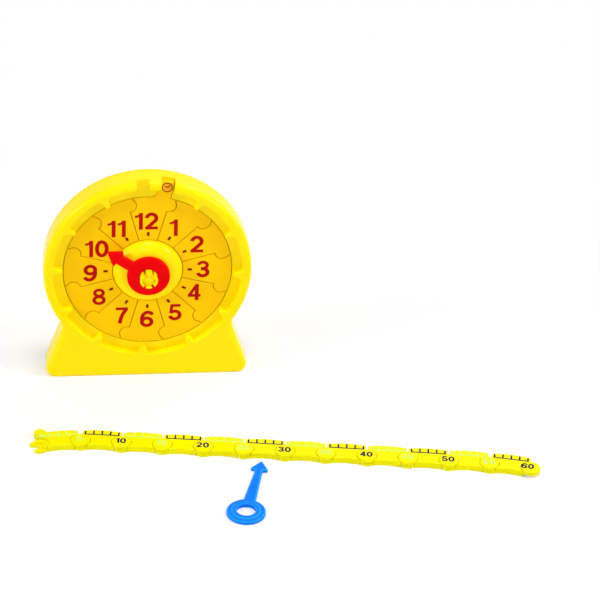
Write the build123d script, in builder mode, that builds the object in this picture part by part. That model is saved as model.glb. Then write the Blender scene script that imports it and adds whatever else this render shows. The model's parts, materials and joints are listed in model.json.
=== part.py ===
from build123d import *
from math import asin, cos, degrees, hypot, radians, sin, sqrt, tan
import os

# A classroom clock in pieces: a standing case with a ring of twelve hour wedges and an hour hand,
# a number line of twelve hinged five-minute links, and a loose minute hand lying in front.
# Millimetres. The foot stands on Z = 0 with its middle at the origin, and the dial faces -Y.

hours = 12
hour_turn = 360 / hours
seam_turn = hour_turn / 2

# Case
case_radius = 50.8
foot_rise = 7.5
case_depth = 15.2
case_wall = 2.2
rim_round = 3.2
foot_width = 103.8
foot_trim = 1.2
waist_turn = 56.2
waist_inset = 2.6
waist_round = 8.0
foot_round = 5.0
cut_overrun = 2.0

# Rear cover and its screws
cover_thickness = 2.6
cover_round = 1.8
screw_head_radius = 2.7
screw_head_height = 1.3
screw_radius = 1.2
screw_length = 5.0
screw_clearance = 0.15
boss_radius = 3.4
upper_screw_inset = 14.8
screw_heading = 48.0
lower_screw_inset = 15.9
lower_screw_height = 12.0

# Number-line seat in the front of the case
rim_height = 3.9
rim_width = 4.8
seat_edge_round = 0.9
tooth_height = 4.3
tooth_turn = 2.5
tooth_clearance = 0.6
tooth_tip_round = 1.0
tooth_root_round = 1.6
notch_turn = -3.4
notch_width = 6.0

# Hour ring
wedge_tooth_gap = 0.7
wedge_thickness = 3.0
wedge_seam = 0.3
wedge_edge = 0.25
ring_clearance = 0.3
wedge_lug_radius = 3.4
wedge_lug_inset = 3.7
wedge_lug_shift = 0.3
wedge_lug_rim_width = 2.4
tab_turn = 10.8
tab_width = 6.0
tab_flare = 2.2
tab_flare_rise = 4.2
tab_inset = 1.0
tab_clearance = 0.25
case_floor = 1.6

# Hub and split post
hub_radius = 16.9
hub_rise = 4.4
hub_top_radius = 10.8
post_radius = 4.3
post_lip_radius = 4.42
post_lip_height = 0.9
post_rise = 10.2
post_bore_radius = 3.1
post_bore_depth = 5.4
post_slot_width = 1.3
post_slot_turn = 30.0
post_slot_depth = 5.2

# Hands
hand_bore_clearance = 0.25
hour_hand_thickness = 2.4
hour_heading = -55.5
hour_eye_radius = 10.4
hour_shaft_width = 5.0
hour_barb_width = 10.2
hour_head_length = 7.2
hour_tip_reach = 24.2
hour_neck_lift = 0.5
hand_edge = 0.5
hand_tip_round = 0.6
hand_barb_round = 0.75
minute_hand_thickness = 1.7
minute_eye_radius = 9.1
minute_collar_radius = 6.7
minute_collar_height = 0.4
minute_collar_edge = 0.25
minute_shaft_width = 6.6
minute_neck_width = 3.5
minute_barb_width = 9.0
minute_head_length = 7.2
minute_tip_reach = 40.9
minute_neck_lift = -0.5
minute_eye_x = 38.2
minute_eye_y = -125.5
minute_heading = 74.0

# Number line
link_seat_clearance = 0.5
link_width = 12.2
pivot_inset = 4.35
link_thickness = 3.0
link_gap = 0.9
link_edge = 0.3
knuckle_radius = 4.7
knuckle_rise = 0.3
knuckle_edge = 0.18
knuckle_clearance = 0.15
groove_width = 0.3
groove_depth = 0.4
lap_clearance = 0.12
pin_radius = 2.3
recess_radius = 2.6
recess_floor = 0.5
clip_mouth = 64.0
clip_mouth_heading = 200.0
key_radius = 2.8
key_x = 1.0
key_overhang = 0.5
line_start_x = -54.8
line_start_y = -68.2
line_heading = 4.2
line_rest_turns = (12.4, 0.1, 0.1, 0.1, 0.1, 0.1, 0.1, 0.1, 0.1, 0.1, 6.3)

# Levels along the dial's axis, ahead of the middle of the case
front_level = case_depth / 2
back_level = -case_depth / 2
joint_level = back_level + cover_thickness
seat_level = front_level - rim_height
wedge_level = seat_level - wedge_thickness
hand_level = seat_level + hub_rise
post_level = seat_level + post_rise

# Radii of the dial, from the rim inwards
hub_height = case_radius + foot_rise
seat_radius = case_radius - rim_width
tooth_tip_radius = seat_radius - tooth_height
wedge_outer_radius = tooth_tip_radius - wedge_tooth_gap
wedge_inner_radius = hub_radius + ring_clearance
wedge_lug_reach = wedge_outer_radius - wedge_lug_inset
tab_reach = case_radius - tab_inset
recess_reach = wedge_outer_radius + ring_clearance
hand_bore_radius = post_radius + hand_bore_clearance

# The number line's links as laid out in a closed ring
link_outer_radius = seat_radius - link_seat_clearance
link_inner_radius = link_outer_radius - link_width
pivot_radius = link_inner_radius + pivot_inset
link_pitch = 2 * pivot_radius * sin(radians(seam_turn))
ring_drop = pivot_radius * cos(radians(seam_turn))
key_y = sqrt(link_outer_radius**2 - (link_pitch / 2 - key_x) ** 2) - ring_drop + key_overhang
lower_level = (link_thickness - lap_clearance) / 2
upper_level = (link_thickness + lap_clearance) / 2
pin_level = recess_floor + lap_clearance

# Screws of the rear cover, about the hub: two in the round body and two in the foot
upper_screw_radius = case_radius - upper_screw_inset
lower_screw_half_span = foot_width / 2 - lower_screw_inset
screw_spots = [
    (upper_screw_radius * sin(radians(turn)), upper_screw_radius * cos(radians(turn)))
    for turn in (-screw_heading, screw_heading)
] + [(side, lower_screw_height - hub_height) for side in (-lower_screw_half_span, lower_screw_half_span)]

os.makedirs("parts", exist_ok=True)


def save(piece, name):
    piece.part.label = name
    export_step(piece.part, f"parts/{name}.step")


def dial_plane(ahead, turn=0.0):
    """Plane facing the front, centred on the hub, turned clockwise from twelve."""
    angle = radians(turn)
    return Plane(origin=(0, -ahead, hub_height), x_dir=(cos(angle), 0, -sin(angle)), z_dir=(0, -1, 0))


def case_outline():
    """Round body that runs through a waist into the flared foot, about the hub."""
    waist_reach = case_radius - waist_inset
    waist_x = waist_reach * sin(radians(waist_turn))
    waist_y = -waist_reach * cos(radians(waist_turn))
    Circle(case_radius)
    Polygon(
        (-foot_width / 2, -hub_height - foot_trim),
        (foot_width / 2, -hub_height - foot_trim),
        (waist_x, waist_y),
        (-waist_x, waist_y),
        align=None,
    )


def rounded_case_outline(sketch):
    case_outline()
    waist_corners = sketch.vertices().filter_by(lambda v: -hub_height + foot_round < v.Y < 0)
    fillet(waist_corners, waist_round)
    fillet(sketch.vertices().group_by(Axis.Y)[0], foot_round)


def tooth_half_width(radius):
    """Half the V-shaped gap between two links of the closed ring, less the running clearance."""
    half = radians(seam_turn)
    return (radius - pivot_radius) * tan(half) + (link_gap / 2 - tooth_clearance) / cos(half)


def seat_outline(sketch):
    """Ring seat with a tooth at every hour but twelve."""
    root = seat_radius + cut_overrun
    Circle(seat_radius)
    with PolarLocations(0, hours - 1, 90 - tooth_turn + hour_turn, 360 - 2 * hour_turn, endpoint=True):
        Polygon(
            (tooth_tip_radius, -tooth_half_width(tooth_tip_radius)),
            (root, -tooth_half_width(root)),
            (root, tooth_half_width(root)),
            (tooth_tip_radius, tooth_half_width(tooth_tip_radius)),
            align=None,
            mode=Mode.SUBTRACT,
        )
    middle = (tooth_tip_radius + seat_radius) / 2
    roots = sketch.vertices().filter_by(lambda v: hypot(v.X, v.Y) > middle)
    fillet(roots, tooth_root_round)
    tips = sketch.vertices().filter_by(lambda v: hypot(v.X, v.Y) < middle)
    fillet(tips, tooth_tip_round)


def tab_shape(gap, reach):
    """Tab of the wedge for twelve, flared where it leaves the ring, or its slot when a gap is given."""
    side = tab_width / 2 + gap
    Polygon(
        (-side - tab_flare, wedge_outer_radius),
        (-side, wedge_lug_reach),
        (side, wedge_lug_reach),
        (side, reach),
        (-side, reach),
        (-side, wedge_outer_radius + tab_flare_rise),
        align=None,
    )


# Front case: moulded shell with the toothed seat, the hub and the split post
with BuildPart() as front_case:
    with BuildSketch(dial_plane(joint_level)) as body_outline:
        rounded_case_outline(body_outline)
    extrude(amount=front_level - joint_level)
    fillet(front_case.faces().sort_by(Axis.Y)[0].edges(), rim_round)
    split(bisect_by=Plane.XY, keep=Keep.TOP)
    with BuildSketch(dial_plane(joint_level)) as hollow_outline:
        rounded_case_outline(hollow_outline)
        offset(amount=-case_wall)
        with Locations(*screw_spots):
            Circle(boss_radius, mode=Mode.SUBTRACT)
    extrude(amount=wedge_level - case_floor - joint_level, mode=Mode.SUBTRACT)
    with BuildSketch(dial_plane(joint_level)):
        with Locations(*screw_spots):
            Circle(screw_radius + screw_clearance)
    extrude(amount=screw_length, mode=Mode.SUBTRACT)
    with BuildSketch(dial_plane(seat_level)) as seat:
        seat_outline(seat)
    extrude(amount=rim_height + cut_overrun, mode=Mode.SUBTRACT)
    front_face = front_case.faces().filter_by(Axis.Y).sort_by(Axis.Y)[0]
    fillet(front_face.inner_wires()[0].edges(), seat_edge_round)
    with BuildSketch(dial_plane(wedge_level)):
        Circle(recess_reach)
        Circle(hub_radius, mode=Mode.SUBTRACT)
    extrude(amount=wedge_thickness + cut_overrun, mode=Mode.SUBTRACT)
    with BuildSketch(Plane(origin=(0, 0, hub_height), x_dir=(1, 0, 0), z_dir=(0, 0, -1))):
        with BuildLine():
            dome_start = (hub_radius, seat_level)
            dome_end = (hub_top_radius, hand_level)
            dome_span = hub_radius - hub_top_radius
            dome_radius = (dome_span**2 + hub_rise**2) / (2 * hub_rise)
            dome_half_angle = asin(dome_span / dome_radius) / 2
            dome_middle = (
                hub_top_radius + dome_radius * sin(dome_half_angle),
                hand_level - dome_radius * (1 - cos(dome_half_angle)),
            )
            ThreePointArc(dome_start, dome_middle, dome_end)
            Polyline(
                dome_end,
                (post_radius, hand_level),
                (post_radius, post_level - post_lip_height),
                (post_lip_radius, post_level - post_lip_height / 2),
                (post_radius, post_level),
                (post_bore_radius, post_level),
                (post_bore_radius, post_level - post_bore_depth),
                (0, post_level - post_bore_depth),
                (0, wedge_level),
                (hub_radius, wedge_level),
                dome_start,
            )
        make_face()
    revolve(axis=Axis((0, 0, hub_height), (0, 1, 0)))
    with BuildSketch(dial_plane(post_level - post_slot_depth)):
        for side in (-1, 1):
            with Locations(Location((0, 0), 90 + side * post_slot_turn)):
                Rectangle(2 * post_radius + cut_overrun, post_slot_width)
    extrude(amount=post_slot_depth + cut_overrun, mode=Mode.SUBTRACT)
    channel_length = case_radius + cut_overrun - wedge_outer_radius
    with BuildSketch(dial_plane(wedge_level, tab_turn)):
        tab_shape(tab_clearance, wedge_outer_radius + channel_length)
    extrude(amount=front_level + cut_overrun - wedge_level, mode=Mode.SUBTRACT)
    with BuildSketch(dial_plane(seat_level, notch_turn)):
        with Locations((0, wedge_outer_radius)):
            Rectangle(notch_width, channel_length, align=(Align.CENTER, Align.MIN))
    extrude(amount=rim_height + cut_overrun, mode=Mode.SUBTRACT)
save(front_case, "front_case")

# Rear cover, screwed to the back of the shell
with BuildPart() as rear_cover:
    with BuildSketch(dial_plane(back_level)) as cover_outline:
        rounded_case_outline(cover_outline)
    extrude(amount=cover_thickness)
    fillet(rear_cover.faces().sort_by(Axis.Y)[-1].edges(), cover_round)
    split(bisect_by=Plane.XY, keep=Keep.TOP)
    with BuildSketch(dial_plane(back_level)):
        with Locations(*screw_spots):
            Circle(screw_radius + screw_clearance)
    extrude(amount=cover_thickness, mode=Mode.SUBTRACT)
    with BuildSketch(dial_plane(back_level)):
        with Locations(*screw_spots):
            Circle(screw_head_radius + screw_clearance)
    extrude(amount=screw_head_height, mode=Mode.SUBTRACT)
save(rear_cover, "rear_cover")

# Four screws, heads sunk in the rear cover
with BuildPart() as rear_screws:
    with BuildSketch(dial_plane(back_level)):
        with Locations(*screw_spots):
            Circle(screw_head_radius)
    extrude(amount=screw_head_height)
    with BuildSketch(dial_plane(back_level + screw_head_height)):
        with Locations(*screw_spots):
            Circle(screw_radius)
    extrude(amount=screw_length)
save(rear_screws, "rear_screws")


def polar(radius, turn):
    """Point of the dial at a radius and a clockwise turn from twelve."""
    return (radius * sin(radians(turn)), radius * cos(radians(turn)))


def seam_half_turn(radius):
    """Half a wedge's angle at a radius, with the seam the same width all along."""
    return seam_turn - degrees(asin(wedge_seam / 2 / radius))


def wedge_lug(turn, gap, mode):
    """Round lug beside a seam, running out to the rim, or its socket when a gap is given."""
    with Locations(Location((0, 0), -turn)):
        with Locations((wedge_lug_shift, wedge_lug_reach)):
            Circle(wedge_lug_radius + gap, mode=mode)
        Polygon(
            (-wedge_seam, wedge_lug_reach),
            (wedge_lug_shift + wedge_lug_radius + gap, wedge_lug_reach),
            (wedge_lug_rim_width + gap, wedge_outer_radius + gap),
            (-wedge_seam, wedge_outer_radius + gap),
            align=None,
            mode=mode,
        )


def make_wedge(hour):
    """One hour wedge: a sector with a round lug on its clockwise side and a socket on the other."""
    inner = seam_half_turn(wedge_inner_radius)
    outer = seam_half_turn(wedge_outer_radius)
    with BuildPart() as wedge:
        with BuildSketch(dial_plane(wedge_level, hour * hour_turn)):
            with BuildLine():
                ThreePointArc(
                    polar(wedge_inner_radius, -inner),
                    (0, wedge_inner_radius),
                    polar(wedge_inner_radius, inner),
                )
                Line(polar(wedge_inner_radius, inner), polar(wedge_outer_radius, outer))
                ThreePointArc(
                    polar(wedge_outer_radius, outer),
                    (0, wedge_outer_radius),
                    polar(wedge_outer_radius, -outer),
                )
                Line(polar(wedge_outer_radius, -outer), polar(wedge_inner_radius, -inner))
            make_face()
            wedge_lug(seam_turn, 0, Mode.ADD)
            wedge_lug(-seam_turn, wedge_seam, Mode.SUBTRACT)
            Circle(wedge_outer_radius, mode=Mode.INTERSECT)
            if hour == 0:
                with Locations(Location((0, 0), -tab_turn)):
                    tab_shape(0, tab_reach)
        extrude(amount=wedge_thickness)
        chamfer(wedge.faces().filter_by(Axis.Y).sort_by(Axis.Y)[0].edges(), wedge_edge)
    return wedge


for hour in range(hours):
    save(make_wedge(hour), f"hour_wedge_{hour or hours:02d}")


def hand_outline(sketch, eye_radius, shaft_width, neck_width, neck_lift, barb_width, head_length, tip_reach):
    """Round eye with a shaft that narrows to a blunt arrowhead, pointing along the plane's Y."""
    barb_reach = tip_reach - head_length
    neck_reach = barb_reach + neck_lift
    Circle(eye_radius)
    Polygon(
        (-shaft_width / 2, 0),
        (shaft_width / 2, 0),
        (neck_width / 2, neck_reach),
        (barb_width / 2, barb_reach),
        (0, tip_reach),
        (-barb_width / 2, barb_reach),
        (-neck_width / 2, neck_reach),
        align=None,
    )
    corners = sketch.vertices().filter_by(lambda v: v.Y > eye_radius)
    fillet(corners.sort_by(Axis.Y)[-1], hand_tip_round)
    corners = sketch.vertices().filter_by(lambda v: v.Y > eye_radius).sort_by(Axis.X)
    fillet([corners[0], corners[-1]], hand_barb_round)


# Hour hand, its eye over the post and resting on the hub
with BuildPart() as hour_hand:
    with BuildSketch(dial_plane(hand_level, hour_heading)) as hour_outline:
        hand_outline(
            hour_outline, hour_eye_radius, hour_shaft_width, hour_shaft_width, hour_neck_lift,
            hour_barb_width, hour_head_length, hour_tip_reach,
        )
        Circle(hand_bore_radius, mode=Mode.SUBTRACT)
    extrude(amount=hour_hand_thickness)
    chamfer(hour_hand.faces().filter_by(Axis.Y).sort_by(Axis.Y)[0].outer_wire().edges(), hand_edge)
save(hour_hand, "hour_hand")

# Minute hand, lying on the table in front of the number line
minute_angle = radians(minute_heading - 90)
minute_plane = Plane(
    origin=(minute_eye_x, minute_eye_y, 0), x_dir=(cos(minute_angle), sin(minute_angle), 0), z_dir=(0, 0, 1)
)
with BuildPart() as minute_hand:
    with BuildSketch(minute_plane) as minute_outline:
        hand_outline(
            minute_outline, minute_eye_radius, minute_shaft_width, minute_neck_width, minute_neck_lift,
            minute_barb_width, minute_head_length, minute_tip_reach,
        )
        Circle(hand_bore_radius, mode=Mode.SUBTRACT)
    extrude(amount=minute_hand_thickness)
    chamfer(minute_hand.faces().filter_by(Axis.Z).sort_by(Axis.Z)[-1].outer_wire().edges(), hand_edge)
    with BuildSketch(minute_plane.offset(minute_hand_thickness)):
        Circle(minute_collar_radius)
        Circle(hand_bore_radius, mode=Mode.SUBTRACT)
    extrude(amount=minute_collar_height)
    collar_top = minute_hand.faces().filter_by(Axis.Z).sort_by(Axis.Z)[-1]
    chamfer(collar_top.outer_wire().edges(), minute_collar_edge)
save(minute_hand, "minute_hand")


def link_body():
    """Link between two pivots, one at the origin and one a pitch along X: a piece of the closed ring."""
    with Locations((link_pitch / 2, -ring_drop)):
        Circle(link_outer_radius)
        Circle(link_inner_radius, mode=Mode.SUBTRACT)
    reach = link_outer_radius
    with Locations((link_pitch / 2, 0)):
        Rectangle(link_pitch - link_gap, reach, mode=Mode.INTERSECT)


def at_left(radius, mode):
    Circle(radius, mode=mode)


def at_right(radius, mode):
    with Locations((link_pitch, 0)):
        Circle(radius, mode=mode)


def make_link(number, plane):
    """One five-minute link: upper knuckle with a pin on its right end, open clip on its left end below."""
    sweep = knuckle_radius + knuckle_clearance
    mouth_reach = 2 * knuckle_radius
    mouth_start = radians(clip_mouth_heading - clip_mouth / 2)
    mouth_end = radians(clip_mouth_heading + clip_mouth / 2)
    with BuildPart() as link:
        with BuildSketch(plane):
            link_body()
            at_right(sweep, Mode.SUBTRACT)
            at_left(knuckle_radius, Mode.ADD)
            Polygon((0, 0), (mouth_reach * cos(mouth_start), mouth_reach * sin(mouth_start)),
                    (mouth_reach * cos(mouth_end), mouth_reach * sin(mouth_end)),
                    align=None, mode=Mode.SUBTRACT)
        extrude(amount=lower_level)
        with BuildSketch(plane.offset(recess_floor)):
            at_left(recess_radius, Mode.ADD)
        extrude(amount=lower_level - recess_floor, mode=Mode.SUBTRACT)
        with BuildSketch(plane.offset(lower_level)):
            link_body()
            at_right(sweep, Mode.SUBTRACT)
            at_left(sweep, Mode.SUBTRACT)
        extrude(amount=upper_level - lower_level)
        with BuildSketch(plane.offset(upper_level)):
            link_body()
            at_left(sweep, Mode.SUBTRACT)
        extrude(amount=link_thickness - upper_level)
        if number == 0:
            with BuildSketch(plane):
                with Locations((key_x, key_y)):
                    Circle(key_radius)
            extrude(amount=link_thickness)
        rim_edges = link.faces().filter_by(Axis.Z).sort_by(Axis.Z)[-1].edges().filter_by(GeomType.CIRCLE)
        chamfer(rim_edges.filter_by(lambda edge: edge.radius > link_pitch), link_edge)
        with BuildSketch(plane.offset(link_thickness - groove_depth)):
            at_right(knuckle_radius + groove_width, Mode.ADD)
        extrude(amount=groove_depth, mode=Mode.SUBTRACT)
        with BuildSketch(plane.offset(upper_level)):
            at_right(knuckle_radius, Mode.ADD)
        extrude(amount=link_thickness + knuckle_rise - upper_level)
        chamfer(link.faces().filter_by(Axis.Z).sort_by(Axis.Z)[-1].edges(), knuckle_edge)
        with BuildSketch(plane.offset(pin_level)):
            at_right(pin_radius, Mode.ADD)
        extrude(amount=upper_level - pin_level)
    return link


# Number line, laid on the table from its first pivot, each link turned a little from the last
pivot_x = line_start_x
pivot_y = line_start_y
heading = line_heading
for number in range(hours):
    direction = (cos(radians(heading)), sin(radians(heading)), 0)
    link_plane = Plane(origin=(pivot_x, pivot_y, 0), x_dir=direction, z_dir=(0, 0, 1))
    minutes = (number + 1) * 60 // hours
    save(make_link(number, link_plane), f"number_link_{minutes:02d}")
    print(f"pivot {number} at {pivot_x:.4f}, {pivot_y:.4f}, heading {heading:.3f}")
    pivot_x += link_pitch * direction[0]
    pivot_y += link_pitch * direction[1]
    if number < len(line_rest_turns):
        heading -= line_rest_turns[number]
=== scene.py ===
import json
from math import atan2, cos, hypot, pi, radians, sin

import bmesh
import bpy
from mathutils import Matrix, Vector


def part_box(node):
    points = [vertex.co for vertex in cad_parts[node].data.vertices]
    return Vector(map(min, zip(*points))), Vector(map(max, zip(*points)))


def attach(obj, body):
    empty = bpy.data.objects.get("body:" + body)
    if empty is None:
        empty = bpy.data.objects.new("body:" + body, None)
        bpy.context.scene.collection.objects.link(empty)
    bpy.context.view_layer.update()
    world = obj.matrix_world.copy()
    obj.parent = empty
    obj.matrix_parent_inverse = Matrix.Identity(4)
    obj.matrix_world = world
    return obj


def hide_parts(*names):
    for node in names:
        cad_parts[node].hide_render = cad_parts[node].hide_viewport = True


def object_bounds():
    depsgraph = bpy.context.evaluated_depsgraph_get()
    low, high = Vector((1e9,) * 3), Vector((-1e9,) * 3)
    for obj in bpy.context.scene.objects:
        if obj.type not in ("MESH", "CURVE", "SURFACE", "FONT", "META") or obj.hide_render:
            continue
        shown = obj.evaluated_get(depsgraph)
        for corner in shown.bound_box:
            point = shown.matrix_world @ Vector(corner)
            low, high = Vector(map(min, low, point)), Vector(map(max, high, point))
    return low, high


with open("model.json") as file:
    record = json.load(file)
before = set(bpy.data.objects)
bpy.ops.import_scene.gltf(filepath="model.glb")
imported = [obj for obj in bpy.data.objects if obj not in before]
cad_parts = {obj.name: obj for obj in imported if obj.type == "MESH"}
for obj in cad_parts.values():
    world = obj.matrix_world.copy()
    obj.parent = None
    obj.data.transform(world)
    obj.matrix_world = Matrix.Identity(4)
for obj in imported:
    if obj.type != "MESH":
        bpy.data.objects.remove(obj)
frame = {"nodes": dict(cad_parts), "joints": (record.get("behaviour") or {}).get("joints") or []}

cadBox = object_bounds()
mm = 0.001
nodes = frame["nodes"]
jointByName = {joint["name"]: joint for joint in frame["joints"]}
minuteNames = [f"number_link_{minutes:02d}" for minutes in range(5, 65, 5)]
hourNames = [f"hour_wedge_{hour:02d}" for hour in range(1, 13)]
print("stage 1: frame loaded,", len(nodes), "nodes")


# Shader helpers

def addNode(tree, kind, spot, **values):
    node = tree.nodes.new(kind)
    node.location = spot
    for name, value in values.items():
        setattr(node, name, value)
    return node


def feed(tree, node, **inputs):
    for name, value in inputs.items():
        socket = node.inputs[int(name[2:]) if name.startswith("in") else name.replace("_", " ")]
        if isinstance(value, bpy.types.NodeSocket):
            tree.links.new(value, socket)
        else:
            socket.default_value = value


def newGroup(name, inputs, outputs):
    group = bpy.data.node_groups.new(name, "ShaderNodeTree")
    for label, kind, value in inputs:
        socket = group.interface.new_socket(name=label, in_out="INPUT", socket_type=kind)
        socket.default_value = value
    for label, kind in outputs:
        group.interface.new_socket(name=label, in_out="OUTPUT", socket_type=kind)
    return group, addNode(group, "NodeGroupInput", (-900, 0)), addNode(group, "NodeGroupOutput", (700, 0))


def newMaterial(name):
    material = bpy.data.materials.new(name)
    material.use_nodes = True
    tree = material.node_tree
    return material, tree, tree.nodes["Principled BSDF"]


# Moulded skin: slow drift of tone, fine orange peel and a little uneven gloss

skinNoise = {"driftDetail": 3.0, "driftRoughness": 0.55, "driftRange": (0.35, 0.7),
             "peelDetail": 2.0, "peelRoughness": 0.5,
             "rubScale": 130.0, "rubDetail": 4.0, "rubRoughness": 0.6, "rubDistortion": 0.6,
             "rubRange": (0.3, 0.75)}


def buildMouldedSkin():
    noise = skinNoise
    group, given, result = newGroup("mouldedSkin", [
        ("Colour", "NodeSocketColor", (0.8, 0.8, 0.8, 1)),
        ("Deep Colour", "NodeSocketColor", (0.7, 0.7, 0.7, 1)),
        ("Drift Scale", "NodeSocketFloat", 22.0),
        ("Peel Scale", "NodeSocketFloat", 850.0),
        ("Gloss Low", "NodeSocketFloat", 0.26),
        ("Gloss High", "NodeSocketFloat", 0.36),
    ], [("Colour", "NodeSocketColor"), ("Roughness", "NodeSocketFloat"), ("Height", "NodeSocketFloat")])
    place = addNode(group, "ShaderNodeTexCoord", (-900, -260))
    drift = addNode(group, "ShaderNodeTexNoise", (-650, 160))
    feed(group, drift, Vector=place.outputs["Object"], Scale=given.outputs["Drift Scale"],
         Detail=noise["driftDetail"], Roughness=noise["driftRoughness"])
    spread = addNode(group, "ShaderNodeMapRange", (-420, 160))
    feed(group, spread, Value=drift.outputs["Fac"],
         From_Min=noise["driftRange"][0], From_Max=noise["driftRange"][1])
    tone = addNode(group, "ShaderNodeMix", (-160, 200), data_type="RGBA")
    feed(group, tone, in0=spread.outputs["Result"], in6=given.outputs["Colour"],
         in7=given.outputs["Deep Colour"])
    peel = addNode(group, "ShaderNodeTexNoise", (-650, -420))
    feed(group, peel, Vector=place.outputs["Object"], Scale=given.outputs["Peel Scale"],
         Detail=noise["peelDetail"], Roughness=noise["peelRoughness"])
    rub = addNode(group, "ShaderNodeTexNoise", (-650, -140))
    feed(group, rub, Vector=place.outputs["Object"], Scale=noise["rubScale"], Detail=noise["rubDetail"],
         Roughness=noise["rubRoughness"], Distortion=noise["rubDistortion"])
    gloss = addNode(group, "ShaderNodeMapRange", (-160, -80))
    feed(group, gloss, Value=rub.outputs["Fac"],
         From_Min=noise["rubRange"][0], From_Max=noise["rubRange"][1],
         To_Min=given.outputs["Gloss Low"], To_Max=given.outputs["Gloss High"])
    feed(group, result, Colour=tone.outputs[2], Roughness=gloss.outputs["Result"], Height=peel.outputs["Fac"])
    return group


# Printed ink: a pad print with faint mottling and a slightly rough face

inkNoise = {"detail": 4.0, "roughness": 0.65, "coverRange": (0.45, 0.8), "gloss": (0.34, 0.5),
            "ior": 1.48, "shine": 0.03}


def buildPrintedInk():
    group, given, result = newGroup("printedInk", [
        ("Ink", "NodeSocketColor", (0.1, 0.1, 0.1, 1)),
        ("Thin Ink", "NodeSocketColor", (0.2, 0.2, 0.2, 1)),
        ("Mottle Scale", "NodeSocketFloat", 1500.0),
    ], [("Colour", "NodeSocketColor"), ("Roughness", "NodeSocketFloat")])
    place = addNode(group, "ShaderNodeTexCoord", (-900, -260))
    mottle = addNode(group, "ShaderNodeTexNoise", (-600, 60))
    feed(group, mottle, Vector=place.outputs["Object"], Scale=given.outputs["Mottle Scale"],
         Detail=inkNoise["detail"], Roughness=inkNoise["roughness"])
    cover = addNode(group, "ShaderNodeMapRange", (-350, 60))
    feed(group, cover, Value=mottle.outputs["Fac"],
         From_Min=inkNoise["coverRange"][0], From_Max=inkNoise["coverRange"][1])
    tone = addNode(group, "ShaderNodeMix", (-100, 120), data_type="RGBA")
    feed(group, tone, in0=cover.outputs["Result"], in6=given.outputs["Ink"], in7=given.outputs["Thin Ink"])
    gloss = addNode(group, "ShaderNodeMapRange", (-100, -120))
    feed(group, gloss, Value=mottle.outputs["Fac"], To_Min=inkNoise["gloss"][0], To_Max=inkNoise["gloss"][1])
    feed(group, result, Colour=tone.outputs[2], Roughness=gloss.outputs["Result"])
    return group


mouldedSkin = buildMouldedSkin()
printedInk = buildPrintedInk()
plasticBasics = {"ior": 1.5, "edgeSamples": 6, "edgeBend": (0.999, 0.94),
                 "glowScale": 0.002, "glowRadius": (1.0, 0.6, 0.1)}


def plasticMaterial(name, look):
    basics = plasticBasics
    material, tree, shader = newMaterial(name)
    skin = addNode(tree, "ShaderNodeGroup", (-420, 120), node_tree=mouldedSkin)
    feed(tree, skin, Colour=look["colour"], Deep_Colour=look["deep"], Drift_Scale=look["drift"],
         Peel_Scale=look["peel"], Gloss_Low=look["gloss"][0], Gloss_High=look["gloss"][1])
    edge = addNode(tree, "ShaderNodeBevel", (-420, -260), samples=basics["edgeSamples"])
    feed(tree, edge, Radius=look["edge"])
    bump = addNode(tree, "ShaderNodeBump", (-200, -160))
    feed(tree, bump, Height=skin.outputs["Height"], Strength=look["bump"], Distance=look["bumpDepth"],
         Normal=edge.outputs["Normal"])
    feed(tree, shader, Base_Color=skin.outputs["Colour"], Roughness=skin.outputs["Roughness"],
         Normal=bump.outputs["Normal"], IOR=basics["ior"], Specular_IOR_Level=look["shine"],
         Subsurface_Weight=look["glow"], Subsurface_Scale=basics["glowScale"],
         Subsurface_Radius=basics["glowRadius"])
    if "edgeHighlightColour" in look:  # painted highlight: edges bent by the bevel get a paler colour, drawn in place of a real highlight
        face = addNode(tree, "ShaderNodeNewGeometry", (-640, -420))
        bent = addNode(tree, "ShaderNodeVectorMath", (-420, -420), operation="DOT_PRODUCT")
        feed(tree, bent, in0=edge.outputs["Normal"], in1=face.outputs["Normal"])
        highlightMask = addNode(tree, "ShaderNodeMapRange", (-200, -420))
        feed(tree, highlightMask, Value=bent.outputs["Value"],
             From_Min=basics["edgeBend"][0], From_Max=basics["edgeBend"][1])
        paintedHighlight = addNode(tree, "ShaderNodeMix", (-200, 260), data_type="RGBA")
        feed(tree, paintedHighlight, in0=highlightMask.outputs["Result"], in6=skin.outputs["Colour"], in7=look["edgeHighlightColour"])
        feed(tree, shader, Base_Color=paintedHighlight.outputs[2])
    return material


def inkMaterial(name, ink, thinInk):
    material, tree, shader = newMaterial(name)
    coat = addNode(tree, "ShaderNodeGroup", (-420, 120), node_tree=printedInk)
    feed(tree, coat, Ink=ink, Thin_Ink=thinInk)
    feed(tree, shader, Base_Color=coat.outputs["Colour"], Roughness=coat.outputs["Roughness"],
         IOR=inkNoise["ior"], Specular_IOR_Level=inkNoise["shine"])
    return material


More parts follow.
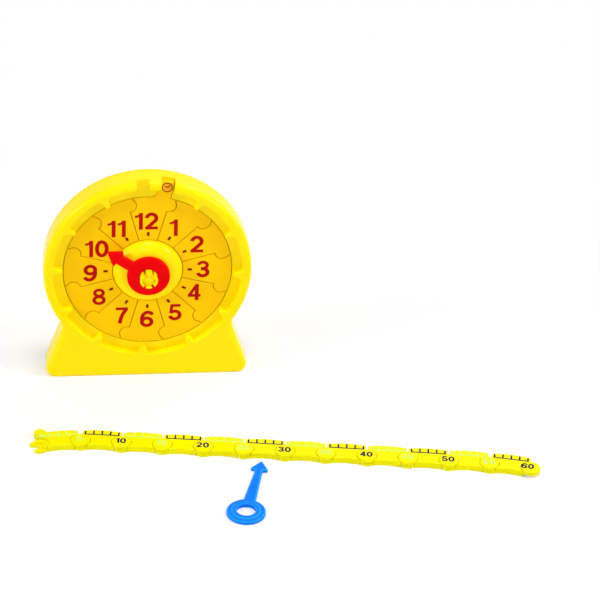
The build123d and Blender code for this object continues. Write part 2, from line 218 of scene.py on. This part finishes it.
plasticLooks = {
    "caseYellow": {"colour": (1.0, 0.76, 0.0, 1), "deep": (0.99, 0.73, 0.0, 1), "drift": 16.0, "peel": 700.0,
                   "gloss": (0.15, 0.2), "bump": 0.05, "bumpDepth": 0.0001, "shine": 0.1, "glow": 0.3,
                   "edge": 0.0004},
    "wedgeGold": {"colour": (1.0, 0.6, 0.0, 1), "deep": (0.98, 0.57, 0.0, 1), "drift": 30.0, "peel": 850.0,
                  "gloss": (0.34, 0.44), "bump": 0.10, "bumpDepth": 0.0002, "shine": 0.05, "glow": 0.12,
                  "edge": 0.0002},
    "linkYellow": {"colour": (0.84, 0.79, 0.0, 1), "deep": (0.83, 0.75, 0.0, 1), "drift": 34.0, "peel": 850.0,
                   "gloss": (0.26, 0.36), "bump": 0.10, "bumpDepth": 0.0002, "shine": 0.06, "glow": 0.06,
                   "edge": 0.0003},
    "hourRed": {"colour": (0.84, 0.0, 0.002, 1), "deep": (0.78, 0.0, 0.002, 1), "drift": 60.0, "peel": 900.0,
                "gloss": (0.2, 0.28), "bump": 0.07, "bumpDepth": 0.0002, "shine": 0.035, "glow": 0.03,
                "edge": 0.0006},
    "minuteBlue": {"colour": (0.002, 0.185, 0.84, 1), "deep": (0.002, 0.16, 0.8, 1),
                   "drift": 60.0, "peel": 900.0, "gloss": (0.22, 0.3), "bump": 0.07,
                   "bumpDepth": 0.0002, "shine": 0.06, "glow": 0.03, "edge": 0.0008,
                   # painted highlight: a paler blue on the edges of the minute hand
                   "edgeHighlightColour": (0.02, 0.46, 1.0, 1)},
}
plastics = {name: plasticMaterial(name, look) for name, look in plasticLooks.items()}
inkLooks = {  # full ink and thin ink
    "numeralRed": ((0.47, 0.002, 0.004, 1), (0.52, 0.012, 0.004, 1)),
    "dashBrown": ((0.2, 0.004, 0.0, 1), (0.24, 0.008, 0.0, 1)),
    "markNavy": ((0.012, 0.008, 0.05, 1), (0.03, 0.02, 0.07, 1)),
    "markMint": ((0.56, 0.87, 0.16, 1), (0.6, 0.87, 0.12, 1)),
    "iconOrange": ((0.98, 0.42, 0.02, 1), (0.97, 0.47, 0.02, 1)),
    "iconBrown": ((0.2, 0.016, 0.006, 1), (0.26, 0.03, 0.008, 1)),
}
inks = {name: inkMaterial(name, *look) for name, look in inkLooks.items()}


# Plated steel of the screws, with a fine grain

steelLook = {"grainScale": 1400.0, "grainDetail": 4.0, "dark": (0.5, 0.5, 0.51, 1),
             "light": (0.66, 0.66, 0.65, 1), "gloss": (0.24, 0.42)}


def screwMaterial():
    material, tree, shader = newMaterial("platedSteel")
    place = addNode(tree, "ShaderNodeTexCoord", (-900, 0))
    grain = addNode(tree, "ShaderNodeTexNoise", (-650, 0))
    feed(tree, grain, Vector=place.outputs["Object"], Scale=steelLook["grainScale"],
         Detail=steelLook["grainDetail"])
    tone = addNode(tree, "ShaderNodeMix", (-350, 120), data_type="RGBA")
    feed(tree, tone, in0=grain.outputs["Fac"], in6=steelLook["dark"], in7=steelLook["light"])
    gloss = addNode(tree, "ShaderNodeMapRange", (-350, -120))
    feed(tree, gloss, Value=grain.outputs["Fac"], To_Min=steelLook["gloss"][0], To_Max=steelLook["gloss"][1])
    feed(tree, shader, Base_Color=tone.outputs[2], Roughness=gloss.outputs["Result"], Metallic=1.0)
    return material


platedSteel = screwMaterial()


def paint(node, material):
    node.data.materials.clear()
    node.data.materials.append(material)


for name, node in nodes.items():
    if name in minuteNames:
        paint(node, plastics["linkYellow"])
    elif name in hourNames:
        paint(node, plastics["wedgeGold"])
    elif name == "hour_hand":
        paint(node, plastics["hourRed"])
    elif name == "minute_hand":
        paint(node, plastics["minuteBlue"])
    elif name == "rear_screws":
        paint(node, platedSteel)
    else:
        paint(node, plastics["caseYellow"])
print("stage 2: materials on", len(nodes), "nodes")


# Numerals drawn with a pen, one unit high; steps are for a quarter turn

pen = {"width": 0.66, "stem": 0.185, "bar": 0.16, "gap": 0.115, "oneWidth": 0.39, "stretch": 1.06,
       "steps": 14, "fewest": 4}


def arc(x, y, rx, ry, start, end):
    steps = max(pen["fewest"], int(abs(end - start) / 90 * pen["steps"]))
    turns = [radians(start + (end - start) * k / steps) for k in range(steps + 1)]
    return [(x + rx * cos(turn), y + ry * sin(turn)) for turn in turns]


def ring(x, y, rx, ry):
    return arc(x, y, rx, ry, 0, 360)[:-1]


def bend(a, b, c):
    steps = pen["steps"]
    shares = [k / steps for k in range(steps + 1)]
    return [tuple((1 - s) ** 2 * a[i] + 2 * s * (1 - s) * b[i] + s * s * c[i] for i in (0, 1))
            for s in shares]


# Each numeral is a list of (points of the stroke, pen width, closed)
stem, bar = pen["stem"], pen["bar"]
six = [(ring(0.33, 0.315, 0.244, 0.235), stem, True), (arc(0.385, 0.5, 0.3, 0.42, 192, 38), stem, False)]
strokes = {
    "0": [(ring(0.33, 0.5, 0.242, 0.42), stem, True)],
    "1": [([(0.304, 0), (0.304, 1)], stem, False), (arc(0.0, 1.02, 0.3, 0.245, -90, -14), 0.125, False)],
    "2": [(arc(0.325, 0.67, 0.238, 0.25, 175, -36) + [(0.115, 0.1)], stem, False),
          ([(0.015, bar / 2), (0.645, bar / 2)], bar, False)],
    "3": [(arc(0.315, 0.73, 0.222, 0.19, 170, -90) + [(0.22, 0.54)], 0.16, False),
          ([(0.22, 0.515)] + arc(0.32, 0.298, 0.244, 0.217, 90, -172), stem, False)],
    "4": [([(0.465, 0), (0.465, 1)], stem, False), ([(0.01, 0.297), (0.66, 0.297)], bar, False),
          ([(0.075, 0.3), (0.448, 0.93)], 0.15, False)],
    "5": [([(0.095, 0.925), (0.6, 0.925)], bar, False), ([(0.165, 0.96), (0.117, 0.44)], 0.152, False),
          (arc(0.32, 0.322, 0.25, 0.24, 146, -168), stem, False)],
    "6": six,
    "7": [([(0.02, 0.925), (0.64, 0.925)], bar, False),
          (bend((0.565, 0.9), (0.285, 0.52), (0.23, 0)), stem, False)],
    "8": [(ring(0.33, 0.738, 0.214, 0.186), 0.155, True), (ring(0.33, 0.29, 0.246, 0.214), 0.165, True)],
    "9": [([(pen["width"] - x, 1 - y) for x, y in points], width, closed) for points, width, closed in six],
}


def ribbon(points, width, closed):
    count = len(points)
    sides = [], []
    for k, (x, y) in enumerate(points):
        before = points[k - 1] if closed or k else points[k]
        after = points[(k + 1) % count] if closed or k < count - 1 else points[k]
        dx, dy = after[0] - before[0], after[1] - before[1]
        length = hypot(dx, dy)
        nx, ny = -dy / length * width / 2, dx / length * width / 2
        sides[0].append((x + nx, y + ny))
        sides[1].append((x - nx, y - ny))
    return sides


def addRibbon(mesh, sides, closed, low, high, spot):
    rows = []
    for a, b in zip(*sides):
        corners = ((a, low), (b, low), (b, high), (a, high))
        rows.append([mesh.verts.new(spot(x, y, z)) for (x, y), z in corners])
    count = len(rows)
    for k in range(count if closed else count - 1):
        near, far = rows[k], rows[(k + 1) % count]
        for j in range(4):
            mesh.faces.new((near[j], near[(j + 1) % 4], far[(j + 1) % 4], far[j]))
    if not closed:
        mesh.faces.new(rows[0][::-1])
        mesh.faces.new(rows[-1])


def joinRings(mesh, near, far):
    for k in range(len(near)):
        after = (k + 1) % len(near)
        mesh.faces.new((near[k], near[after], far[after], far[k]))


def markWidth(mark):
    return pen["oneWidth"] if mark == "1" else pen["width"]


def numeralWidth(text):
    return sum(markWidth(mark) for mark in text) + pen["gap"] * (len(text) - 1)


def finishMesh(mesh, name):
    bmesh.ops.recalc_face_normals(mesh, faces=mesh.faces)
    data = bpy.data.meshes.new(name)
    mesh.to_mesh(data)
    mesh.free()
    piece = bpy.data.objects.new(name, data)
    bpy.context.scene.collection.objects.link(piece)
    return piece


def applyBoolean(piece, other, operation, own):
    modifier = piece.modifiers.new("cut", "BOOLEAN")
    modifier.operation = operation
    modifier.solver = "EXACT"
    modifier.use_self = own
    modifier.object = other
    depsgraph = bpy.context.evaluated_depsgraph_get()
    result = bpy.data.meshes.new_from_object(piece.evaluated_get(depsgraph))
    piece.modifiers.clear()
    old = piece.data
    piece.data = result
    bpy.data.meshes.remove(old)
    bpy.data.meshes.remove(other.data)


# Strokes that cross are joined, so that a print is one thin closed shell
def joinStrokes(piece):
    applyBoolean(piece, bpy.data.objects.new("blank", bpy.data.meshes.new("blank")), "UNION", True)
    return piece


def writeNumber(mesh, text, height, weight, middle, low, high):
    wide = height * pen["stretch"]
    left = middle[0] - numeralWidth(text) * wide / 2
    for mark in text:
        def spot(x, y, z, left=left):
            return (left + x * wide, middle[1] + (y - 0.5) * height, z)
        for points, width, closed in strokes[mark]:
            addRibbon(mesh, ribbon(points, width * weight, closed), closed, low, high, spot)
        left += (markWidth(mark) + pen["gap"]) * wide


def drawLine(mesh, start, end, width, low, high):
    addRibbon(mesh, ribbon([start, end], width, False), False, low, high, lambda x, y, z: (x, y, z))


# Moves a print from its own flat plane onto a face of the body that carries it
def layOn(piece, origin, right, up, body, material):
    out = right.cross(up)
    piece.matrix_world = Matrix((
        (right.x, up.x, out.x, origin.x),
        (right.y, up.y, out.y, origin.y),
        (right.z, up.z, out.z, origin.z),
        (0, 0, 0, 1),
    ))
    bpy.context.view_layer.update()
    piece.data.transform(piece.matrix_world)
    piece.matrix_world = Matrix.Identity(4)
    paint(piece, material)
    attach(piece, body)


# Hour numerals and their dashes, printed on the wedges

dialPrint = {"height": 9.15 * mm, "weight": 1.06, "hourStep": 30, "dashRadius": 20.5 * mm,
             "dashLength": 2.1 * mm, "dashWidth": 1.2 * mm, "sink": 0.04 * mm, "rise": 0.03 * mm}
hourSpots = {  # middle of each numeral in mm right of and above the hub, as the print sits in the photo
    1: (12.25, 23.65), 2: (23.7, 14.2), 3: (27.0, 0.05), 4: (22.9, -13.1),
    5: (13.7, -24.4), 6: (-0.2, -27.9), 7: (-12.5, -25.6), 8: (-23.7, -14.5),
    9: (-27.9, -0.85), 10: (-24.8, 12.7), 11: (-15.3, 23.6), 12: (-0.9, 27.6),
}
hub = Vector(jointByName["hour_hand_turn"]["pos_m"])
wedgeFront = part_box("hour_wedge_03")[0].y
dialOrigin = Vector((0, wedgeFront, hub.z))
dialRight, dialUp = Vector((1, 0, 0)), Vector((0, 0, 1))


def printHour(hour):
    mesh = bmesh.new()
    middle = tuple(place * mm for place in hourSpots[hour])
    writeNumber(mesh, str(hour), dialPrint["height"], dialPrint["weight"], middle,
                -dialPrint["sink"], dialPrint["rise"])
    piece = joinStrokes(finishMesh(mesh, f"hour_print_{hour:02d}"))
    layOn(piece, dialOrigin, dialRight, dialUp, "hour_ring", inks["numeralRed"])


def printDashes():
    mesh = bmesh.new()
    ends = [dialPrint["dashRadius"] + side * dialPrint["dashLength"] / 2 for side in (-1, 1)]
    for hour in range(len(hourSpots)):
        turn = radians(dialPrint["hourStep"] * hour)
        drawLine(mesh, *[(reach * sin(turn), reach * cos(turn)) for reach in ends], dialPrint["dashWidth"],
                 -dialPrint["sink"], dialPrint["rise"])
    piece = finishMesh(mesh, "hour_dashes")
    layOn(piece, dialOrigin, dialRight, dialUp, "hour_ring", inks["dashBrown"])


for hour in hourSpots:
    printHour(hour)
printDashes()
print("stage 3: hour prints done")


# Number line: ticks, baseline and number on each link

linePrint = {"ticks": 5, "tickStep": 4.0 * mm, "tickWidth": 0.75 * mm, "baseWidth": 0.7 * mm,
             "baseY": 5.1 * mm, "firstRun": 2.2 * mm,
             "ringRadius": 45.5 * mm, "ringDrop": 36.37 * mm, "edgeMargin": 0.75 * mm,
             "numberHeight": 3.9 * mm, "numberWeight": 1.15, "numberShift": (-0.35 * mm, 0.7 * mm),
             "lastShift": -1.2 * mm, "sink": 0.04 * mm, "rise": 0.03 * mm, "knuckleRise": 0.3 * mm}
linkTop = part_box("number_link_10")[1].z - linePrint["knuckleRise"]
hinges = [jointByName[f"line_hinge_{m:02d}_{m + 5:02d}"] for m in range(5, 60, 5)]
pivots = [Vector(hinge["pos_m"]) for hinge in hinges]
pitch = (pivots[1] - pivots[0]).length
headings = [atan2(b.y - a.y, b.x - a.x) for a, b in zip(pivots, pivots[1:])]
headings.insert(0, headings[0] - radians(hinges[0]["range_deg"][0]))
headings.append(headings[-1] + radians(hinges[-1]["range_deg"][0]))


def printLink(index):
    minutes = 5 * (index + 1)
    heading = headings[index]
    right = Vector((cos(heading), sin(heading), 0))
    rightPivot = pivots[index] if index < len(pivots) else pivots[-1] + right * pitch
    origin = rightPivot - right * pitch
    origin.z = linkTop
    low, high = -linePrint["sink"], linePrint["rise"]
    mesh = bmesh.new()
    middleTick = (linePrint["ticks"] - 1) / 2
    ticks = [pitch / 2 + (k - middleTick) * linePrint["tickStep"] for k in range(linePrint["ticks"])]
    half = linePrint["tickWidth"] / 2
    start = ticks[0] - half - (linePrint["firstRun"] if index == 0 else 0)
    drawLine(mesh, (start, linePrint["baseY"]), (ticks[-1] + half, linePrint["baseY"]),
             linePrint["baseWidth"], low, high)
    for x in ticks:
        arcTop = (linePrint["ringRadius"] ** 2 - (x - pitch / 2) ** 2) ** 0.5 - linePrint["ringDrop"]
        drawLine(mesh, (x, linePrint["baseY"]), (x, arcTop - linePrint["edgeMargin"]),
                 linePrint["tickWidth"], low, high)
    shift = linePrint["numberShift"]
    lastShift = linePrint["lastShift"] if index == len(minuteNames) - 1 else 0
    middle = (pitch + shift[0] + lastShift, shift[1])
    writeNumber(mesh, str(minutes), linePrint["numberHeight"], linePrint["numberWeight"], middle,
                low + linePrint["knuckleRise"], high + linePrint["knuckleRise"])
    piece = joinStrokes(finishMesh(mesh, f"minute_print_{minutes:02d}"))
    ink = inks["markMint"] if index % 2 == 0 else inks["markNavy"]
    layOn(piece, origin, right, Vector((-right.y, right.x, 0)), minuteNames[index], ink)


for index in range(len(minuteNames)):
    printLink(index)
print("stage 4: number line prints done")


# Small clock sign printed on the tab of the twelve wedge

signPrint = {"radius": 46.8 * mm, "turn": 10.8, "disc": 2.35 * mm, "rim": 0.46 * mm, "hand": 0.55 * mm,
             "hands": ((0.5, -52), (0.72, 58)),  # share of the disc and heading
             "sink": 0.04 * mm, "rise": 0.03 * mm, "step": 0.02 * mm}


def printSign():
    turn = radians(signPrint["turn"])
    middle = (signPrint["radius"] * sin(turn), signPrint["radius"] * cos(turn))
    rim = ring(middle[0], middle[1], signPrint["disc"], signPrint["disc"])
    disc = bmesh.new()
    bottom = [disc.verts.new((x, y, -signPrint["sink"])) for x, y in rim]
    top = [disc.verts.new((x, y, signPrint["rise"])) for x, y in rim]
    disc.faces.new(bottom[::-1])
    disc.faces.new(top)
    joinRings(disc, bottom, top)
    piece = finishMesh(disc, "sign_disc")
    layOn(piece, dialOrigin, dialRight, dialUp, "hour_ring", inks["iconOrange"])
    lines = bmesh.new()
    low, high = signPrint["rise"] - signPrint["step"], signPrint["rise"] + signPrint["step"]
    addRibbon(lines, ribbon(rim, signPrint["rim"], True), True, low, high, lambda x, y, z: (x, y, z))
    for share, heading in signPrint["hands"]:
        reach = signPrint["disc"] * share
        tip = (middle[0] + reach * sin(radians(heading)), middle[1] + reach * cos(radians(heading)))
        drawLine(lines, middle, tip, signPrint["hand"], low, high)
    piece = joinStrokes(finishMesh(lines, "sign_lines"))
    layOn(piece, dialOrigin, dialRight, dialUp, "hour_ring", inks["iconBrown"])


printSign()
print("stage 5: sign done")


# Cross-head screws in the rear cover

domeShares = (0.15, 0.4, 0.65, 0.88)  # rings of a domed face, as shares of its radius
screwForm = {"head": 2.7 * mm, "headDepth": 1.3 * mm, "crown": 0.16 * mm, "edge": 0.22 * mm,
             "shank": 1.2 * mm, "thread": 0.28 * mm, "threadStep": 0.8 * mm, "turns": 5, "tip": 0.3 * mm,
             "crossReach": 1.6 * mm, "crossWidth": 0.62 * mm, "crossDepth": 0.9 * mm, "crossTaper": 0.5,
             "headings": (14, 63, 38, 81)}


def screwSpots():
    points = [vertex.co for vertex in nodes["rear_screws"].data.vertices]
    split = (min(point.z for point in points) + max(point.z for point in points)) / 2
    groups = {}
    for point in points:
        groups.setdefault((point.x > 0, point.z > split), []).append(point)
    spots = []
    for key in sorted(groups):
        xs, ys, zs = zip(*groups[key])
        spots.append(Vector(((min(xs) + max(xs)) / 2, max(ys), (min(zs) + max(zs)) / 2)))
    return spots


def screwProfile():
    form = screwForm
    profile = [(form["head"] * share, form["crown"] * share**2) for share in domeShares]
    profile += [(form["head"], form["crown"] + form["edge"]), (form["head"], form["headDepth"])]
    for k in range(form["turns"]):
        depth = form["headDepth"] + k * form["threadStep"]
        profile += [(form["shank"] - form["thread"], depth), (form["shank"], depth + form["threadStep"] / 2)]
    end = form["headDepth"] + form["turns"] * form["threadStep"]
    return profile + [(form["shank"] - form["thread"], end), (form["tip"], end + 2 * form["tip"])]


# Turns a profile of (radius, depth) about a line along Y, from its front cap to its rear cap
def turnProfile(mesh, spot, profile, inward):
    rings = []
    for radius, depth in profile:
        rings.append([mesh.verts.new((spot.x + x * radius, spot.y + inward * depth, spot.z + z * radius))
                      for x, z in ring(0, 0, 1, 1)])
    for near, far in zip(rings, rings[1:]):
        joinRings(mesh, near, far)
    mesh.faces.new(rings[0])
    mesh.faces.new(rings[-1])


def crossOutline():
    wide, reach = screwForm["crossWidth"] / 2, screwForm["crossReach"]
    arm = [(wide, wide), (wide, reach), (-wide, reach)]
    outline = []
    for quarter in range(4):
        outline += arm
        arm = [(-z, x) for x, z in arm]
    return outline


def buildScrews():
    form = screwForm
    screws, crosses = bmesh.new(), bmesh.new()
    for spot, heading in zip(screwSpots(), form["headings"]):
        turnProfile(screws, spot, screwProfile(), -1)
        turn = radians(heading)
        layers = []
        for depth, share in ((-form["crossDepth"] / 2, 1.0), (form["crossDepth"], form["crossTaper"])):
            turned = [(share * (x * cos(turn) - z * sin(turn)), share * (x * sin(turn) + z * cos(turn)))
                      for x, z in crossOutline()]
            layers.append([crosses.verts.new((spot.x + x, spot.y - depth, spot.z + z)) for x, z in turned])
        joinRings(crosses, *layers)
        crosses.faces.new(layers[0])
        crosses.faces.new(layers[1])
    piece, cutter = finishMesh(screws, "cross_screws"), finishMesh(crosses, "cross_cutter")
    applyBoolean(piece, cutter, "DIFFERENCE", False)
    paint(piece, platedSteel)
    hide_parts("rear_screws")
    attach(piece, "base")


buildScrews()


# Core of the split post: it leaves a shallow mouth with a domed floor

postCore = {"radius": 3.05 * mm, "depth": 0.45 * mm, "length": 4.95 * mm, "crown": 0.5 * mm,
            "edge": 0.25 * mm}


def buildPostCore():
    form = postCore
    tip = Vector((hub.x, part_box("front_case")[0].y, hub.z))
    profile = [(form["radius"] * share, form["depth"] + form["crown"] * share**2) for share in domeShares]
    shoulder = form["depth"] + form["crown"] + form["edge"]
    profile += [(form["radius"], shoulder), (form["radius"], form["depth"] + form["length"])]
    mesh = bmesh.new()
    turnProfile(mesh, tip, profile, 1)
    piece = finishMesh(mesh, "post_core")
    paint(piece, plastics["caseYellow"])
    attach(piece, "base")


buildPostCore()
print("stage 6: screws and post core done")


# Floor and light

floorLook = {"size": 6.0, "cells": 8, "drop": 0.0001, "colour": (0.9, 0.9, 0.91, 1),
             "cloudColour": (0.91, 0.91, 0.915, 1), "cloudScale": 3.0, "cloudDetail": 2.0,
             "roughness": 0.7, "shine": 0.1, "middle": (0.02, -0.06, 0.0), "near": 0.12, "far": 0.3,
             "nearWhite": 0.25, "farWhite": 1.0}


# 1 for rays that show a surface to the camera, straight or by way of another, and 0 for rays that light one
def seenRays(tree, x, y):
    path = addNode(tree, "ShaderNodeLightPath", (x, y))
    plain = addNode(tree, "ShaderNodeMath", (x + 200, y), operation="MAXIMUM")
    feed(tree, plain, in0=path.outputs["Is Camera Ray"], in1=path.outputs["Is Glossy Ray"])
    seen = addNode(tree, "ShaderNodeMath", (x + 400, y), operation="MAXIMUM")
    feed(tree, seen, in0=plain.outputs["Value"], in1=path.outputs["Is Transmission Ray"])
    return seen.outputs["Value"]


def buildFloor():
    mesh = bmesh.new()
    cells = floorLook["cells"]
    bmesh.ops.create_grid(mesh, x_segments=cells, y_segments=cells, size=floorLook["size"] / 2)
    floor = finishMesh(mesh, "studio_floor")
    floor.location.z = cadBox[0].z - floorLook["drop"]
    material, tree, shader = newMaterial("paleFloor")
    place = addNode(tree, "ShaderNodeTexCoord", (-700, 0))
    cloud = addNode(tree, "ShaderNodeTexNoise", (-500, 0))
    feed(tree, cloud, Vector=place.outputs["Object"], Scale=floorLook["cloudScale"],
         Detail=floorLook["cloudDetail"])
    tone = addNode(tree, "ShaderNodeMix", (-260, 0), data_type="RGBA")
    feed(tree, tone, in0=cloud.outputs["Fac"], in6=floorLook["colour"], in7=floorLook["cloudColour"])
    feed(tree, shader, Base_Color=tone.outputs[2], Roughness=floorLook["roughness"],
         Specular_IOR_Level=floorLook["shine"])
    white = addNode(tree, "ShaderNodeEmission", (0, -220))
    reach = addNode(tree, "ShaderNodeVectorMath", (-260, -560), operation="DISTANCE")
    feed(tree, reach, in0=place.outputs["Object"], in1=floorLook["middle"])
    fade = addNode(tree, "ShaderNodeMapRange", (-60, -560), interpolation_type="SMOOTHSTEP")
    feed(tree, fade, Value=reach.outputs["Value"], From_Min=floorLook["near"], From_Max=floorLook["far"],
         To_Min=floorLook["nearWhite"], To_Max=floorLook["farWhite"])
    share = addNode(tree, "ShaderNodeMath", (300, -420), operation="MULTIPLY")
    feed(tree, share, in0=seenRays(tree, -260, -400), in1=fade.outputs["Result"])
    mix = addNode(tree, "ShaderNodeMixShader", (480, 0))
    feed(tree, mix, in0=share.outputs["Value"], in1=shader.outputs["BSDF"], in2=white.outputs["Emission"])
    feed(tree, tree.nodes["Material Output"], Surface=mix.outputs["Shader"])
    floor.data.materials.append(material)


lamps = {  # the small glint lamp makes the bright spot on the hub
    "leftLamp": {"place": (-0.95, -0.34, 0.55), "size": 0.2, "power": 5.3},
    "rightLamp": {"place": (0.98, -0.36, 0.6), "size": 0.2, "power": 4.6},
    "topLamp": {"place": (0.05, -0.2, 1.2), "size": 0.3, "power": 4.9},
    "backLamp": {"place": (0.85, 0.85, 0.95), "size": 0.5, "power": 4.5},
    "frontLamp": {"place": (-0.12, -1.2, 0.72), "size": 0.3, "power": 1.7},
    "glintLamp": {"place": (0.72, -0.12, 0.98), "size": 0.08, "power": 1.5},
}
lampAim = Vector((0.0, -0.05, 0.05))
skyLook = {"colour": (1, 1, 1, 1), "ambient": 0.3, "seen": 1.0}


def buildLight():
    for name, lamp in lamps.items():
        light = bpy.data.lights.new(name, "AREA")
        light.size = lamp["size"]
        light.energy = lamp["power"]
        holder = bpy.data.objects.new(name, light)
        holder.location = lamp["place"]
        holder.rotation_euler = (lampAim - holder.location).to_track_quat("-Z", "Y").to_euler()
        bpy.context.scene.collection.objects.link(holder)
    world = bpy.data.worlds.new("studio")
    bpy.context.scene.world = world
    world.use_nodes = True
    tree = world.node_tree
    sky = tree.nodes["Background"]
    level = addNode(tree, "ShaderNodeMapRange", (-100, 0))
    feed(tree, level, Value=seenRays(tree, -700, 0), To_Min=skyLook["ambient"], To_Max=skyLook["seen"])
    feed(tree, sky, Color=skyLook["colour"], Strength=level.outputs["Result"])
    bpy.context.scene.view_settings.view_transform = "Standard"


cameraView = {"place": (-0.0732, -1.0476, 0.6859), "yaw": -8.11, "pitch": 31.52, "roll": 2.9,
              "lens": 150.0, "sensor": 36.0}


def buildCamera():
    camera = bpy.data.cameras.new("photoCamera")
    camera.lens = cameraView["lens"]
    camera.sensor_width = cameraView["sensor"]
    holder = bpy.data.objects.new("photoCamera", camera)
    turn = Matrix.Rotation(radians(cameraView["yaw"]), 4, "Z")
    turn = turn @ Matrix.Rotation(pi / 2 - radians(cameraView["pitch"]), 4, "X")
    turn = turn @ Matrix.Rotation(radians(cameraView["roll"]), 4, "Z")
    holder.matrix_world = Matrix.Translation(cameraView["place"]) @ turn
    bpy.context.scene.collection.objects.link(holder)
    bpy.context.scene.camera = holder


buildFloor()
buildLight()
buildCamera()
print("stage 7: floor, light and camera done")
